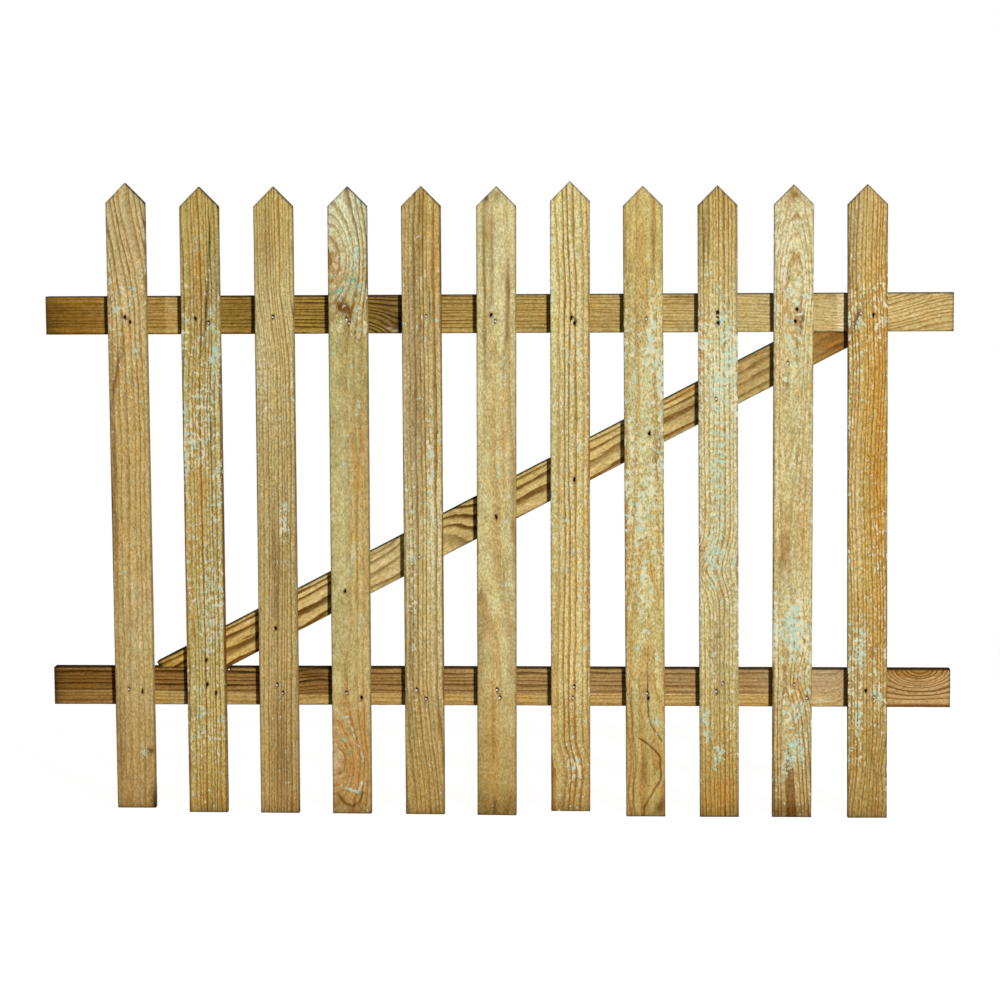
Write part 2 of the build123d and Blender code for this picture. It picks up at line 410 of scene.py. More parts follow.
            (20, 560, 6, 80, 0.5), (8, 230, 14, 40, 0.4)],
    ),
    "picket_11": dict(
        ring=6.8,
        pith=[(0, (-160, 40)), (110, (-150, 40)), (400, (-150, 40)), (640, (-156, 40)), (860, (-147, 40)),
            (1040, (-155, 40)), (1200, (-150, 40))],
        contrast=0.95,
        eyes=[(38, 96, 26, 40, 1.7)],
        early=[(0, (164, 138, 79)), (250, (184, 162, 99)), (600, (188, 162, 88)), (900, (188, 160, 88)),
            (1200, (190, 170, 112))],
        late=[(0, (146, 104, 48)), (600, (160, 108, 34)), (1200, (150, 110, 52))],
        bloom=[(0, 0.14), (120, 0.34), (330, 0.6), (440, 0.34), (800, 0.34), (980, 0.5), (1080, 0.24),
            (1200, 0.06)],
        slopes=(0.2, 0.3),
        orange=[(20, 700, 18, 420, 0.5)],
        grey=[(-26, 1080, 10, 90, 0.4), (-20, 240, 12, 60, 0.3)],
        pale=[(-22, 640, 10, 200, 0.35)],
        mint=[(-16, 960, 8, 40, 0.7, 0.2), (12, 1000, 10, 16, 0.7), (-12, 330, 14, 60, 0.8, 0.1),
            (-20, 170, 8, 60, 0.6, 0.2), (24, 240, 6, 30, 0.7)],
        brown=[(-22, 945, 6, 30, 0.8, 0.4), (8, 120, 3, 40, 0.5, -0.2)],
    ),
    "top_rail": dict(
        ring=6.0,
        pith=[(0, (-110, 60)), (1300, (-116, 60)), (1560, (-120, 70)), (1719, (-86, 70))],
        contrast=[(0, 0.7), (440, 0.7), (509, 0.95), (649, 1.0), (789, 0.75), (1209, 0.65), (1489, 0.55),
            (1590, 0.95)],
        early=[(60, (146, 106, 40)), (229, (180, 146, 76)), (369, (148, 118, 52)), (509, (161, 130, 61)),
            (649, (139, 111, 53)), (789, (176, 146, 79)), (1069, (180, 152, 88)), (1349, (192, 170, 112)),
            (1660, (198, 173, 114))],
        late=[(0, (82, 54, 14)), (229, (112, 82, 30)), (369, (84, 62, 18)), (649, (64, 44, 14)),
            (789, (109, 81, 33)), (1209, (126, 100, 52)), (1489, (160, 136, 86)), (1660, (158, 118, 52))],
        bloom=-1.0,
        eyes=[(-34, 676, 44, 40, 3.4)],
        strips=[
            ([(0, 20), (150, 24), (400, 40)], 40, [(0, 0.5), (300, 0)], (176, 130, 62), (140, 96, 36)),
            (-40, 40, [(228, 0), (231, 0.6), (256, 0.6), (260, 0)], (200, 168, 104), (168, 132, 66)),
            (-40, 40, [(1500, 0), (1503, 0.55), (1528, 0.55), (1531, 0)], (226, 206, 158), (196, 172, 120)),
        ],
        top_edge_shade=0.6,
        dark=[(-22, 676, 16, 13, 0.9), (14, 655, 40, 26, 0.3), (20, 20, 14, 24, 0.25),
            (-20, 14, 16, 22, 0.35)],
        pale=[(-31, 668, 3, 4, 0.9), (-27, 658, 2, 4, 0.7)],
        brown=[(30, 1209, 3, 34, 0.7), (22, 1209, 2, 34, 0.6)],
    ),
    "bottom_rail": dict(
        ring=7.2,
        pith=[(0, (-120, 80)), (430, (-122, 80)), (520, (-112, 80)), (600, (-122, 80)),
            (1500, (-122, 80)), (1596, (46, 150))],
        contrast=[(0, 0.9), (1209, 0.9), (1489, 0.6), (1596, 1.1)],
        early=[(60, (134, 94, 42)), (369, (160, 123, 64)), (509, (138, 102, 50)), (649, (160, 124, 70)),
            (929, (172, 138, 85)), (1349, (168, 136, 87)), (1489, (184, 159, 115)), (1600, (184, 148, 94)),
            (1719, (190, 155, 104))],
        late=[(0, (84, 50, 12)), (509, (70, 42, 12)), (649, (98, 66, 26)), (1349, (124, 94, 52)),
            (1489, (160, 132, 90)), (1600, (126, 86, 38))],
        bloom=-1.0,
        eyes=[(40, 1660, 36, 56, -8.0)],
        strips=[
            (-40, BAND_EDGE, [(0, 0.2), (122, 0.3), (197, 0.9), (1400, 0.95), (1520, 0.5), (1560, 0)],
             (192, 160, 94), (152, 118, 52)),
            (moved(BAND_EDGE, -1.4), moved(BAND_EDGE, 0.6), [(0, 0.3), (197, 0.8), (1400, 0.7), (1480, 0)],
             (208, 176, 112), (190, 154, 92)),
            (moved(BAND_EDGE, 1), moved(BAND_EDGE, 3), [(0, 0.2), (122, 0.4), (1400, 0.5), (1480, 0)],
             (108, 76, 34), (80, 52, 20)),
            (32, 40, 0.3, (176, 136, 80), (140, 100, 50)),
            ([(1596, 34), (1612, 26), (1660, 17), (1706, 26), (1719, 34)], 40,
             [(1590, 0), (1600, 0.8), (1719, 0.6)], (160, 116, 50), (104, 68, 24)),
        ],
        top_edge_shade=0.6,
        dark=[(0, 229, 12, 8, 0.2), (0, 4, 40, 5, 0.5), (20, 509, 6, 40, 0.3, -0.2)],
        pale=[(-24, 1470, 9, 20, 0.5)],
    ),
    "diagonal_brace": dict(
        ring=17.0,
        pith=[(0, (-70, 45)), (900, (-70, 45)), (1565, (-64, 45))],
        eyes=[(10, 607, 52, 66, -2.0)],
        contrast=[(0, 0.9), (120, 0.8), (213, 1.0), (370, 0.9), (528, 0.6), (686, 1.2), (843, 1.0),
            (1001, 0.75), (1159, 0.95), (1316, 0.55), (1474, 0.6)],
        early=[(55, (206, 166, 84)), (213, (206, 174, 104)), (370, (210, 184, 120)),
            (528, (202, 182, 124)), (686, (184, 157, 92)), (843, (206, 181, 115)), (1001, (198, 174, 112)),
            (1159, (192, 169, 109)), (1316, (173, 148, 90)), (1430, (146, 104, 48)), (1565, (126, 84, 36))],
        late=[(0, (112, 72, 20)), (370, (112, 80, 28)), (528, (140, 108, 52)), (686, (92, 64, 20)),
            (843, (128, 94, 40)), (1159, (118, 84, 38)), (1316, (136, 104, 54)), (1474, (88, 54, 20))],
        bloom=[(0, -0.2), (180, 0.02), (400, 0.04), (520, -0.4), (1565, -1.0)],
        top_edge_shade=0.8,
        brown=[(-20, 1165, 11, 60, 0.45), (-28, 1000, 10, 60, 0.4), (-20, 540, 10, 30, 0.4, 0.2),
            (20, 1316, 3, 60, 0.6), (6, 1159, 4, 60, 0.4)],
        orange=[(30, 1159, 5, 60, 0.6)],
        # Of the dark marks, those at 36 across paint shade along the top edge near the toe, and the slanting
        # one at 1518 paints shade where the head meets the top rail.
        dark=[(6, 1460, 22, 14, 0.3), (0, 1518, 4, 90, 0.8, -0.518), (36, 60, 3, 90, 0.9),
            (36, 250, 2, 150, 0.6), (30, 3, 8, 4, 0.8)],
        pale=[(16, 225, 2.4, 5, 1.0), (22, 196, 2.4, 4, 1.0), (-20, 395, 2.6, 6, 1.0),
            (-22, 366, 2.6, 7, 1.0), (-10, 410, 2.2, 5, 0.9), (12, 84, 8, 10, 0.5)],
    ),
}

# Nails: off the picket's centre line, above the feet, and what shows of the head
PICKET_NAILS = [
    [(-4, 956, "hole"), (5, 946, "hole"), (-11, 241, "bright"), (15, 236, "hole")],
    [(-9, 952, "hole"), (16, 944, "bright"), (1, 250, "hole"), (18, 233, "hole"), (0, 297, "hole")],
    [(-1, 955, "bright"), (-4, 250, "bright"), (7, 234, "bright"), (-5, 360, "hole")],
    [(-1, 950, "bright"), (3, 942, "dull"), (-10, 235, "bright"), (18, 226, "hole"), (-11, 432, "hole")],
    [(9, 955, "dull"), (-15, 241, "bright"), (3, 224, "bright"), (-8, 498, "dull")],
    [(-8, 957, "hole"), (0, 945, "dull"), (-1, 242, "bright"), (4, 227, "bright"), (-1, 574, "hole")],
    [(3, 950, "hole"), (10, 941, "hole"), (6, 248, "bright"), (3, 226, "dull"), (8, 645, "hole")],
    [(4, 948, "dull"), (5, 236, "bright"), (7, 226, "hole"), (10, 732, "hole")],
    [(-2, 960, "hole"), (-1, 940, "hole"), (-3, 240, "bright"), (8, 255, "dull"), (-5, 797, "dull")],
    [(6, 965, "hole"), (3, 943, "hole"), (4, 253, "dull"), (28, 228, "bright"), (-11, 864, "dull")],
    [(-15, 957, "dull"), (8, 954, "hole"), (-1, 242, "hole"), (14, 230, "dull")],
]
HEEL_NAIL = (316, 33, "bright")  # skewed through the brace into the bottom rail: along and up


class Board:
    """Where a CAD board lies: its across, along and depth directions, its size, and how its ends are cut."""

    def __init__(self, node):
        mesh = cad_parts[node].data
        points = np.array([v.co for v in mesh.vertices]) / MM
        upright = [p for p in mesh.polygons if abs(p.normal.y) < 0.01]
        across = np.array(max(upright, key=lambda p: p.area).normal)
        across[1] = 0
        across /= np.linalg.norm(across)
        main = 0 if abs(across[0]) > abs(across[2]) else 2
        self.across = across * np.sign(across[main])
        self.along = np.array((-self.across[2], 0, self.across[0]))
        self.along *= np.sign(self.along[2 - main])
        reach, run = points @ self.across, points @ self.along
        self.middle = (reach.min() + reach.max()) / 2
        self.width = reach.max() - reach.min()
        self.half = self.width / 2
        self.start, self.length = run.min(), run.max() - run.min()
        self.front = points[:, 1].min()
        self.thick = points[:, 1].max() - self.front
        self.point = POINT_SLOPE if node.startswith("picket") else 0.0
        self.level_cut = self.along[0] / self.along[2] if node.endswith("brace") else 0.0

    def start_at(self, u):
        """Where the board begins, at each place across it."""
        return np.maximum(0, (self.half - BRACE_NOSE - u) * self.level_cut)

    def end_at(self, u):
        """Where the board ends, at each place across it."""
        cut = np.maximum(0, (self.half - BRACE_NOSE + u) * self.level_cut)
        return self.length - cut - self.point * abs(u)

    def to_board(self, x, z):
        """Across and along of a place on the panel's front."""
        place = np.array((x, 0, z))
        return place @ self.across - self.middle, place @ self.along - self.start

    def to_row(self, u, s, t):
        """The panel's own place of a place on the board: across, along and deep."""
        place = (u + self.middle)[..., None] * self.across + (s + self.start)[..., None] * self.along
        place[..., 1] += self.front + t
        return place


def spaced(low, high, step):
    return np.linspace(low, high, max(1, round((high - low) / step)) + 1)


def stations(board, wood, nails):
    """Mesh rows along a board: close at the ends, beside nails and along streaks."""
    rows = set(END_ROWS) | {board.length - row for row in END_ROWS}
    rows |= set(spaced(END_ROWS[-1], board.length - END_ROWS[-1], STEP_ALONG))
    for *_, path in wood.get("streaks", ()):
        places = [s for _, s in path]
        rows |= set(spaced(min(places) + STEP_FINE, max(places), STEP_FINE))
    for _, nail_s, _ in nails:
        reach = (NAIL_ROWS + 0.4) * NAIL_STEP
        rows = {row for row in rows if abs(row - nail_s) > reach}
        rows |= {nail_s + k * NAIL_STEP for k in range(-NAIL_ROWS, NAIL_ROWS + 1)}
    rows = np.array(sorted(rows))
    keep = np.concatenate(([True], np.diff(rows) > 0.3))
    return rows[keep]


def rounded(u, t, width, thick, radius):
    """A place on a sharp-cornered section, moved to one with round corners, and the way out of it there."""
    inner_u = np.clip(u, -width / 2 + radius, width / 2 - radius)
    inner_t = np.clip(t, radius, thick - radius)
    du, dt = u - inner_u, t - inner_t
    far = np.hypot(du, dt)
    scale = np.where(far > 0, np.maximum(abs(du), abs(dt)) / np.maximum(far, 1e-9), 1)
    out = np.stack([du, dt], axis=-1) / np.maximum(far, 1e-9)[..., None]
    return inner_u + du * scale, inner_t + dt * scale, out


def bevelled(board, u, s):
    """Place along the board, with the rows near a slanting end turned to follow it."""
    low, high = board.start_at(u), board.end_at(u)
    reach_low = board.start_at(-board.half) + BEVEL_REACH
    reach_high = board.end_at(board.half) - BEVEL_REACH
    s = np.where(s < reach_low, low + s / reach_low * (reach_low - low), s)
    top = (s - reach_high) / (board.length - reach_high)
    return np.where(s > reach_high, reach_high + top * (high - reach_high), s)


def shaped(board, seed, u, s, t):
    """Places on a sharp square blank moved to the worn and bevelled board, and the way out of it there."""
    edge = 9.7 * (np.where(u < 0, 0, 1) + np.where(t < board.thick / 2, 0, 2))
    wear = smooth_noise(seed + 21, s / 34, edge, 0) + 0.6 * smooth_noise(seed + 22, s / 9, edge, 0)
    u, t, out = rounded(u, t, board.width, board.thick, ARRIS + ARRIS_WEAR * np.clip(wear, 0, 1))
    inset = np.clip(END_WEAR - np.minimum(s, board.length - s), 0, END_WEAR)
    u = u * (1 - 2 * inset / board.width)
    t = board.thick / 2 + (t - board.thick / 2) * (1 - 2 * inset / board.thick)
    return u, bevelled(board, u, s), t, out


def ring_phase(wood, seed, u, s, t):
    """How many years' rings lie between the heart of the tree and each place in a board."""
    heart = along_board(wood["pith"], s, eased=True)
    years = np.hypot(u - heart[..., 0], t - heart[..., 1]) / wood["ring"]
    years = years + 0.30 * smooth_noise(seed, u / 45, s / 260, t / 45)
    years = years + 0.12 * smooth_noise(seed + 1, u / 14, s / 70, t / 14)
    for eye_u, eye_s, half_u, half_s, rings in wood.get("eyes", ()):
        years = years + rings * np.exp(-(((u - eye_u) / half_u) ** 2) - ((s - eye_s) / half_s) ** 2)
    years = years + 0.22 * np.sin(1.7 * years + seed) + 0.18 * np.sin(0.63 * years + 2 * seed)
    return years + 40 * seed


def worn_away(wood, seed, nails, u, s, t):
    """How far the weather and the nails have taken the surface in, at each place on it."""
    soft = 0.5 + 0.5 * np.cos(2 * pi * ring_phase(wood, seed, u, s, t))
    worn = RELIEF * soft * one_along(wood["contrast"], s)
    worn = worn + CUP * (0.5 + 0.5 * smooth_noise(seed + 31, u / 50, s / 180, t / 50))
    for nail_u, nail_s, _ in nails:
        gap = np.hypot(u - nail_u, s - nail_s)
        worn = worn + np.where(t < ARRIS, CRATER_DEPTH * np.exp(-((gap / CRATER_RADIUS) ** 4)), 0)
    return worn


def section_steps(board):
    """Mesh columns across a board's front and mesh levels through its thickness."""
    near = np.array((0, ARRIS / 4, ARRIS / 2))
    middle = spaced(-board.half + ARRIS, board.half - ARRIS, STEP_ACROSS)
    columns = np.concatenate([-board.half + near, middle, (board.half - near)[::-1]])
    inner = spaced(ARRIS, board.thick - ARRIS, STEP_DEEP)
    levels = np.concatenate([[0, ARRIS / 3], inner, [board.thick - ARRIS / 3, board.thick]])
    return columns, levels


def blank(board, rows):
    """Places on the sharp square blank: row by row round it, front first, then within its two ends."""
    columns, levels = section_steps(board)
    inner = levels[1:-1]
    left, right = np.full(len(inner), columns[0]), np.full(len(inner), columns[-1])
    front, back = np.zeros(len(columns)), np.full(len(columns), board.thick)
    loop_u = np.concatenate([columns, right, columns[::-1], left])
    loop_t = np.concatenate([front, inner, back, inner[::-1]])
    cap_u, cap_t = (grid.ravel() for grid in np.meshgrid(columns[1:-1], inner))
    u = np.concatenate([np.tile(loop_u, len(rows)), cap_u, cap_u])
    t = np.concatenate([np.tile(loop_t, len(rows)), cap_t, cap_t])
    s = np.concatenate([np.repeat(rows, len(loop_u)), np.repeat((rows[0], rows[-1]), len(cap_u))])
    return u, s, t


def grid_faces(grid):
    corners = [grid[:-1, :-1], grid[1:, :-1], grid[1:, 1:], grid[:-1, 1:]]
    return np.stack(corners, axis=-1).reshape(-1, 4)


def wrapped(grid):
    """A grid of vertex numbers, closed to a tube."""
    return np.concatenate([grid, grid[:, :1]], axis=1)


def end_grid(first, inside, across, deep):
    """Vertex numbers of an end face: the section's own round it, from the first on, and those within it."""
    grid = np.empty((deep + 1, across + 1), int)
    grid[0] = np.arange(across + 1)
    grid[1:-1, -1] = np.arange(across + 1, across + deep)
    grid[-1] = np.arange(across + deep, 2 * across + deep + 1)[::-1]
    grid[1:-1, 0] = np.arange(2 * across + deep + 1, 2 * across + 2 * deep)[::-1]
    grid += first
    grid[1:-1, 1:-1] = inside
    return grid


def board_faces(board, row_count):
    """Faces of a board's blank: a tube of rows, and a grid over each end."""
    columns, levels = section_steps(board)
    across, deep = len(columns) - 1, len(levels) - 1
    loop = 2 * across + 2 * deep
    tube = np.arange(row_count * loop).reshape(row_count, loop)
    inside = tube.size + np.arange(2 * (deep - 1) * (across - 1)).reshape(2, deep - 1, across - 1)
    start = end_grid(tube[0, 0], inside[0], across, deep)
    end = end_grid(tube[-1, 0], inside[1], across, deep)
    return np.concatenate([grid_faces(wrapped(tube)), grid_faces(start[:, ::-1]), grid_faces(end)])


def facing_out(points, faces):
    """The faces, turned round if they look into the solid."""
    corners = (points - points.mean(axis=0))[faces[:, :3]]
    volume = np.einsum("ij,ij->", corners[:, 0], np.cross(corners[:, 1], corners[:, 2]))
    return faces if volume > 0 else faces[:, ::-1]


def wood_colours(wood, seed, u, s, t):
    """Colours of the early and the late wood, with strips of other wood let into them."""
    drift = smooth_noise(seed + 3, u / 30, s / 160, t / 30)[..., None]
    early = palette(wood["early"], s) * (1 + 0.10 * drift)
    late = palette(wood["late"], s) * (1 + 0.08 * drift)
    wave = smooth_noise(seed + 5, s / 120, 0.5, 0.5) + 0.4 * smooth_noise(seed + 6, s / 23, 0.5, 0.5)
    for low, high, strength, strip_early, strip_late in wood.get("strips", ()):
        inside = np.minimum(u - one_along(low, s), one_along(high, s) - u) + wave
        share = (np.clip(inside / STRIP_EDGE + 0.5, 0, 1) * one_along(strength, s))[..., None]
        early = early + (srgb(strip_early) - early) * share
        late = late + (srgb(strip_late) - late) * share
    return early, late


def mark_share(mark, seed, u, s, t):
    """How strongly a mark with ragged edges shows at each place."""
    mark_u, mark_s, half_u, half_s, strength, *slant = mark
    du = u - mark_u - sum(slant) * (s - mark_s) + half_u * 0.5 * smooth_noise(seed + 7, u / 9, s / 40, t / 9)
    ds = s - mark_s + half_s * 0.3 * smooth_noise(seed + 8, u / 7, s / 60, t / 7)
    return strength * np.exp(-((du / half_u) ** 2) - (ds / half_s) ** 2 - t / MARK_DEPTH)


def streak_share(half_width, strength, path, seed, u, s, t):
    """How strongly a line along a path shows at each place."""
    sway = u + 1.2 * smooth_noise(seed + 9, u / 9, s / 14, 0.5)
    gap = np.full(u.shape, np.inf)
    for (u0, s0), (u1, s1) in zip(path, path[1:]):
        part = ((sway - u0) * (u1 - u0) + (s - s0) * (s1 - s0)) / ((u1 - u0) ** 2 + (s1 - s0) ** 2)
        part = np.clip(part, 0, 1)
        gap = np.minimum(gap, np.hypot(sway - u0 - part * (u1 - u0), s - s0 - part * (s1 - s0)))
    return strength * np.exp(-((gap / half_width) ** 2) - t / MARK_DEPTH)


def front_marks(board, wood, seed, u, s, t):
    """Every mark on a board's front: its kind, and how strongly it shows at each place."""
    kinds = [kind for kind in wood if kind in MARK_TINTS or kind in SALT_MARKS]
    marks = [(kind, mark) for kind in kinds for mark in wood[kind]]
    for side, strength in zip((-1, 1), wood.get("slopes", ())):
        slope_u = side * board.half / 2
        slope_s = board.end_at(slope_u)
        marks.append(("dark", (slope_u, slope_s, *SLOPE_MARK, strength, -side)))
    for number, (kind, mark) in enumerate(marks):
        yield kind, mark_share(mark, seed + 11 * number, u, s, t)
    for number, (kind, half_width, strength, path) in enumerate(wood.get("streaks", ())):
        yield kind, streak_share(half_width, strength, path, seed + 11 * number, u, s, t)
    # Painted shade along the top edge, as though the top face were out of the lamp's light.
    yield "dark", wood.get("top_edge_shade", 0) * np.exp(-(((board.half - u) / TOP_EDGE_SHADE_WIDTH) ** 2))


def grime_and_side_shade(board, ends, u, s, t):
    """What is left of the colour at each place after the dirt and the preservative on edges and ends, and
    after the painted shade that partly darkens the narrow sides.
    """
    from_side, from_face = board.half - abs(u), np.minimum(t, board.thick - t)
    from_foot = s - board.start_at(u)
    from_end = np.minimum(from_foot, board.end_at(u) - s)
    edge = np.maximum(from_side, from_face)
    shade = 1 - RIM_SHADE * np.exp(-((edge / RIM_REACH) ** 2))
    shade = shade - SAWN_SHADE * np.exp(-((from_end / SAWN_REACH) ** 2))
    shade = shade * (1 - FOOT_SHADE * np.exp(-((from_foot / FOOT_REACH) ** 2)))
    # The narrow sides are darker partly from soaked preservative and partly as painted shade, as though out
    # of the lamp's light.
    on_side = (from_side < ARRIS / 4) & (t > ARRIS)
    return np.where(ends, END_SHADE, shade * np.where(on_side, SIDE_SHADE, 1.0))


def wood_fields(board, wood, seed, ends, u, s, t):
    """What the wood material reads at each vertex of a board: colours, salts and grain."""
    early, late = wood_colours(wood, seed, u, s, t)
    bloom = one_along(wood["bloom"], s) * (1 + 0.5 * smooth_noise(seed + 4, u / 18, s / 70, t / 18))
    bloom = np.where(t > MARK_DEPTH, HIDDEN_BLOOM * bloom - HIDDEN_LESS, bloom)
    salts = {"crust": bloom, "mint": np.minimum(bloom, 0), "teal": np.minimum(bloom, 0)}
    for kind, amount in front_marks(board, wood, seed, u, s, t):
        if kind == "crust":
            salts[kind] = salts[kind] + amount
        elif kind in SALT_MARKS:
            salts[kind] = np.maximum(salts[kind], amount)
        else:
            share, tint = np.clip(amount, 0, 1)[..., None], srgb(MARK_TINTS[kind])
            early = early + (tint - early) * share
            late = late + (0.75 * tint - late) * share
    left = grime_and_side_shade(board, ends, u, s, t)[..., None]
    phase, contrast = ring_phase(wood, seed, u, s, t), one_along(wood["contrast"], s)
    return {
        "grain": np.stack([phase, contrast, np.clip(salts["crust"], -1, 1.2)], axis=-1),
        "salts": np.stack([salts["mint"], salts["teal"], np.zeros_like(u)], axis=-1),
        "early": early * left,
        "late": late * left,
    }


def pit_field(nails, u, s, t):
    """Place within the nearest nail's bruise, and how dark that and the painted shade in its pit are.
    Elsewhere the place is out of reach.
    """
    field = np.full((len(u), 3), (2 * PIT_REACH, 2 * PIT_REACH, 0.0))
    for nail_u, nail_s, kind in nails:
        near = (np.hypot(u - nail_u, s - nail_s) < PIT_REACH) & (t < 2 * CRATER_DEPTH)
        field[near] = np.stack([u - nail_u, s - nail_s, np.full(u.shape, PIT_SHADE_AND_BRUISE[kind])], axis=-1)[near]
    return field


def new_piece(name, points, faces, material):
    """A smooth-shaded object from places in millimetres and faces."""
    mesh = bpy.data.meshes.new(name)
    mesh.from_pydata((points * MM).tolist(), [], [list(face) for face in faces])
    mesh.polygons.foreach_set("use_smooth", np.ones(len(mesh.polygons), bool))
    mesh.set_sharp_from_angle(angle=radians(SHARP_EDGE))
    mesh.materials.append(material)
    piece = bpy.data.objects.new(name, mesh)
    bpy.context.scene.collection.objects.link(piece)
    return piece


def store(mesh, name, values):
    """Keep three values for each vertex, for the material to read."""
    layer = mesh.attributes.new(name, "FLOAT_VECTOR", "POINT")
    layer.data.foreach_set("vector", values.astype(np.float32).ravel())


def board_piece(name, board, wood, seed, nails, material):
    """A sawn board with worn edges, raised grain and nail holes, as one closed mesh."""
    rows = stations(board, wood, nails)
    flat_u, flat_s, flat_t = blank(board, rows)
    u, s, t, out = shaped(board, seed, flat_u, flat_s, flat_t)
    worn = worn_away(wood, seed, nails, u, s, t)
    points = board.to_row(u - out[:, 0] * worn, s, t - out[:, 1] * worn)
    faces = facing_out(points, board_faces(board, len(rows)))
    piece = new_piece(name, points, faces.tolist(), material)
    ends = (flat_s == rows[0]) | (flat_s == rows[-1])
    shift = np.random.default_rng(seed).uniform(0, 3, 3)
    store(piece.data, "board", np.stack([u, s, t], axis=-1) * MM + shift)
    store(piece.data, "pit", pit_field(nails, u, s, t))
    for field, values in wood_fields(board, wood, seed, ends, u, s, t).items():
        store(piece.data, field, values)
    return piece


class Nodes:
    """Short ways to add and join the nodes of one tree."""

    def __init__(self, owner):
        owner.use_nodes = True
        self.tree = owner.node_tree
        self.tree.nodes.clear()

    def add(self, kind, inputs=None, **settings):
        node = self.tree.nodes.new(kind)
        for name, value in settings.items():
            setattr(node, name, value)
        for socket, value in (inputs or {}).items():
            self.put(node.inputs[socket], value)
        return node

    def put(self, socket, value):
        if isinstance(value, bpy.types.NodeSocket):
            self.tree.links.new(value, socket)
        else:
            socket.default_value = value

    def math(self, operation, a, b=0.0, c=0.0, clamp=False):
        node = self.add("ShaderNodeMath", {0: a, 1: b, 2: c}, operation=operation, use_clamp=clamp)
        return node.outputs[0]

    def scaled(self, value, by, plus):
        return self.math("MULTIPLY_ADD", value, by, plus)

    def product(self, *values):
        total = values[0]
        for value in values[1:]:
            total = self.math("MULTIPLY", total, value)
        return total

    def noise(self, vector, cells, detail, rough):
        place = self.add("ShaderNodeVectorMath", {0: vector, 1: cells}, operation="MULTIPLY").outputs[0]
        inputs = {"Vector": place, "Scale": 1.0, "Detail": detail, "Roughness": rough}
        return self.add("ShaderNodeTexNoise", inputs).outputs["Fac"]

    def step(self, value, low, high, to_low=0.0, to_high=1.0):
        inputs = {0: value, 1: low, 2: high, 3: to_low, 4: to_high}
        return self.add("ShaderNodeMapRange", inputs, interpolation_type="SMOOTHSTEP").outputs[0]

    def mix(self, factor, a, b, blend="MIX"):
        settings = {"data_type": "RGBA", "blend_type": blend, "clamp_factor": True}
        return self.add("ShaderNodeMix", {0: factor, 6: a, 7: b}, **settings).outputs[2]

    def attribute(self, name):
        return self.add("ShaderNodeAttribute", attribute_name=name).outputs["Vector"]

    def split(self, vector):
        return self.add("ShaderNodeSeparateXYZ", {0: vector}).outputs

    def join(self, x, y, z):
        return self.add("ShaderNodeCombineXYZ", {0: x, 1: y, 2: z}).outputs[0]

    def finish(self, shader, output="ShaderNodeOutputMaterial"):
        self.add(output, {"Surface": shader.outputs[0]})


def shade(colour):
    return (*srgb(colour), 1.0)


def ring_nodes(g, place, phase, contrast):
    """The late wood of each year, and the years. Rings wander a little and differ from year to year."""
    years = g.scaled(g.noise(place, *RING_WANDER), 0.5, phase)
    year, part = g.math("FLOOR", years), g.math("FRACT", years)
    luck = g.add("ShaderNodeTexWhiteNoise", {"W": year}, noise_dimensions="1D").outputs["Value"]
    weight = g.scaled(luck, YEAR_MORE, YEAR_LEAST)
    late = g.product(g.step(part, *LATE_RISE), g.step(part, *LATE_DROP, 1.0, 0.0))
    return g.math("MULTIPLY", late, g.product(weight, contrast), clamp=True), years, year


def timber_nodes(g, place, band, fibre, grit, bloom):
    """Bare wood: early and late colours, warm patches, fibres, and flecks where the surface is coarse."""
    wood = g.mix(band, g.attribute("early"), g.attribute("late"))
    warm = g.step(g.noise(place, *WARMTH), 0.44, 0.66, 0.0, WARM_SHARE)
    wood = g.mix(warm, wood, g.mix(1.0, wood, WARM_TINT, "MULTIPLY"))
    fleck = g.step(g.noise(place, *FLECK), 0.58, 0.70)
    coarse = g.scaled(g.math("MAXIMUM", bloom, 0.0), COARSE_SALTS, COARSE_BASE)
    gritty = g.scaled(g.math("SUBTRACT", grit, 0.5), coarse, 1.04)
    flecked = g.scaled(g.product(fleck, coarse), FLECK_DARK, 1.07)
    tone = g.math("MAXIMUM", g.product(g.scaled(fibre, FIBRE_TONE, FIBRE_BASE), gritty, flecked), DARKEST)
    red, blue = g.math("POWER", tone, RED_DEEP), g.math("POWER", tone, BLUE_DEEP)
    deep = g.add("ShaderNodeCombineColor", {0: red, 1: tone, 2: blue}).outputs[0]
    return g.mix(1.0, wood, deep, "MULTIPLY")


def salt_nodes(g, wood, place, band, grit, bloom):
    """Salts on the wood: speckles where they came out densely, smears where they dried."""
    mint, teal, _ = g.split(g.attribute("salts"))
    speck = g.scaled(band, -0.10, g.noise(place, *SPECK))
    limit = g.scaled(bloom, SPECK_BLOOM, SPECK_LIMIT)
    crust = g.step(g.math("SUBTRACT", speck, limit), 0.0, SPECK_SOFT)
    hue = g.step(g.noise(place, *SPECK_HUE), 0.42, 0.62)
    wood = g.mix(g.product(crust, SALT_COVER), wood, g.mix(hue, shade(SALT_CREAM), shade(SALT_GREEN)))
    smear = g.noise(place, *SMEAR)
    for amount, dark, light, pull, step in (
        (mint, MINT_DARK, MINT_LIGHT, MINT_PULL, MINT_STEP),
        (teal, TEAL_DARK, TEAL_LIGHT, TEAL_PULL, TEAL_STEP),
    ):
        cover = g.product(g.step(g.scaled(amount, pull, smear), *step), SALT_COVER)
        wood = g.mix(cover, wood, g.mix(grit, shade(dark), shade(light)))
    return wood, crust


